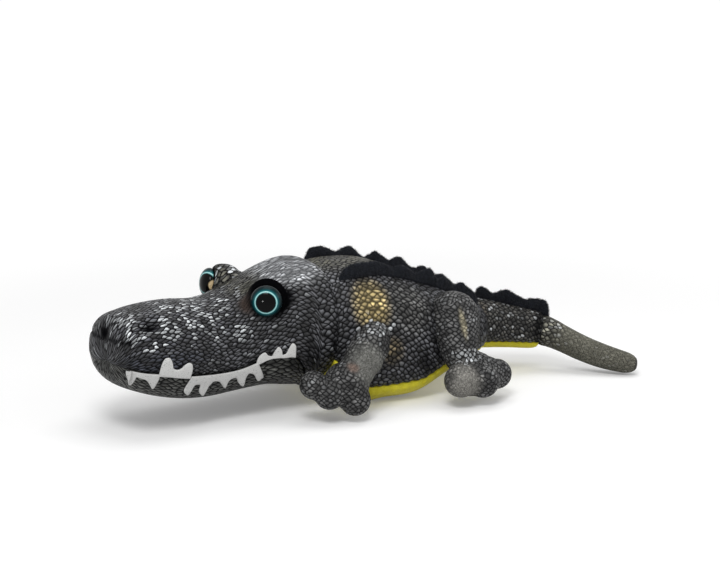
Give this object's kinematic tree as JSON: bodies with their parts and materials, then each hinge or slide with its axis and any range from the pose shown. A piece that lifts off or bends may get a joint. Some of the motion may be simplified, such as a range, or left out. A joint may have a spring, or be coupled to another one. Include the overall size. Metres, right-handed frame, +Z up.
{
  "type": "plush crocodile",
  "caption": "Stuffed crocodile toy lying on its belly, with round safety eyes, felt teeth sewn in a shut mouth, scalloped back crests and a bent tail.",
  "frame": {"origin": "on the flat under the belly, in the toy's middle plane", "axes": "+X towards the tail, -Y to the toy's left side, +Z up"},
  "size_m": [0.356, 0.1528, 0.0908],
  "materials": {
    "scale_cloth": "printed reptile-scale plush cloth, charcoal with grey and foil-bright scales",
    "jaw_cloth": "printed scale cloth, olive dark",
    "tail_cloth": "fine grained printed cloth, olive grey",
    "paw_cloth": "printed scale cloth, grey with cream patches",
    "belly_plush": "short pile plush, lemon yellow",
    "crest_plush": "fuzzy plush, blue black",
    "tooth_felt": "white felt with a few grey flecks",
    "eye_black": "polished",
    "iris_teal": "polished, bright teal",
    "washer_white": "plain moulded"
  },
  "bodies": {
    "torso": {"torso": "scale_cloth", "belly_panel": "belly_plush", "crest_left": "crest_plush", "crest_right": "crest_plush"},
    "neck": {"neck": "scale_cloth"},
    "head": {"head": "scale_cloth", "lower_jaw": "jaw_cloth", "eye_left": "eye_black", "eye_right": "eye_black", "iris_left": "iris_teal", "iris_right": "iris_teal", "eye_washer_left": "washer_white", "eye_washer_right": "washer_white", "teeth_upper_front_left": "tooth_felt", "teeth_upper_front_right": "tooth_felt", "teeth_upper_rear_left": "tooth_felt", "teeth_upper_rear_right": "tooth_felt", "teeth_lower_front_left": "tooth_felt", "teeth_lower_front_right": "tooth_felt", "teeth_lower_rear_left": "tooth_felt", "teeth_lower_rear_right": "tooth_felt"},
    "tail_base": {"tail_base": "scale_cloth", "tail_panel": "belly_plush", "crest_tail": "crest_plush"},
    "tail_tip": {"tail_tip": "tail_cloth"},
    "front_leg_left": {"front_leg_left": "scale_cloth"},
    "front_paw_left": {"front_paw_left": "paw_cloth"},
    "front_leg_right": {"front_leg_right": "scale_cloth"},
    "front_paw_right": {"front_paw_right": "paw_cloth"},
    "hind_leg_left": {"hind_leg_left": "scale_cloth"},
    "hind_paw_left": {"hind_paw_left": "paw_cloth"},
    "hind_leg_right": {"hind_leg_right": "scale_cloth"},
    "hind_paw_right": {"hind_paw_right": "paw_cloth"}
  },
  "joints": [
    {"name": "neck_turn", "type": "hinge", "parent": "torso", "child": "neck", "pos_m": [-0.036, 0, 0.04998], "axis": [0, 0, 1], "range_deg": [-18, 10], "stiffness_Nm_per_rad": 0.6},
    {"name": "head_nod", "type": "hinge", "parent": "neck", "child": "head", "pos_m": [-0.036, 0, 0.04998], "axis": [0.0698, -0.9976, 0], "range_deg": [-8, 10], "stiffness_Nm_per_rad": 3, "springref_deg": -1.55},
    {"name": "front_leg_swing_left", "type": "hinge", "parent": "torso", "child": "front_leg_left", "pos_m": [-0.0174, -0.0395, 0.04796], "axis": [-0.1045, -0.9939, 0.0349], "range_deg": [-20, 20], "stiffness_Nm_per_rad": 0.6},
    {"name": "front_paw_bend_left", "type": "hinge", "parent": "front_leg_left", "child": "front_paw_left", "pos_m": [-0.0304, -0.053, 0.02896], "axis": [-0.1045, -0.9939, 0.0349], "range_deg": [-12, 12], "stiffness_Nm_per_rad": 0.3},
    {"name": "front_leg_swing_right", "type": "hinge", "parent": "torso", "child": "front_leg_right", "pos_m": [-0.0174, 0.0395, 0.04796], "axis": [-0.1045, 0.9939, 0.0349], "range_deg": [-20, 20], "stiffness_Nm_per_rad": 0.6},
    {"name": "front_paw_bend_right", "type": "hinge", "parent": "front_leg_right", "child": "front_paw_right", "pos_m": [-0.0304, 0.053, 0.02896], "axis": [-0.1045, 0.9939, 0.0349], "range_deg": [-12, 12], "stiffness_Nm_per_rad": 0.3},
    {"name": "hind_leg_swing_left", "type": "hinge", "parent": "torso", "child": "hind_leg_left", "pos_m": [0.04522, -0.03714, 0.04902], "axis": [0.1388, -0.9879, -0.0698], "range_deg": [-20, 20], "stiffness_Nm_per_rad": 0.6},
    {"name": "hind_paw_bend_left", "type": "hinge", "parent": "hind_leg_left", "child": "hind_paw_left", "pos_m": [0.04122, -0.05414, 0.02902], "axis": [0.1388, -0.9879, -0.0698], "range_deg": [-10, 10], "stiffness_Nm_per_rad": 0.3},
    {"name": "hind_leg_swing_right", "type": "hinge", "parent": "torso", "child": "hind_leg_right", "pos_m": [0.04522, 0.03714, 0.04902], "axis": [0.1388, 0.9879, -0.0698], "range_deg": [-20, 20], "stiffness_Nm_per_rad": 0.6},
    {"name": "hind_paw_bend_right", "type": "hinge", "parent": "hind_leg_right", "child": "hind_paw_right", "pos_m": [0.04122, 0.05414, 0.02902], "axis": [0.1388, 0.9879, -0.0698], "range_deg": [-10, 10], "stiffness_Nm_per_rad": 0.3},
    {"name": "tail_swing", "type": "hinge", "parent": "torso", "child": "tail_base", "pos_m": [0.083, 0, 0.03388], "axis": [0, 0, 1], "range_deg": [-16, 16], "stiffness_Nm_per_rad": 0.3},
    {"name": "tail_tip_bend", "type": "hinge", "parent": "tail_base", "child": "tail_tip", "pos_m": [0.128, -0.012, 0.02588], "axis": [-0.6839, -0.7295, 0], "range_deg": [-5, 15], "stiffness_Nm_per_rad": 0.15}
  ]
}
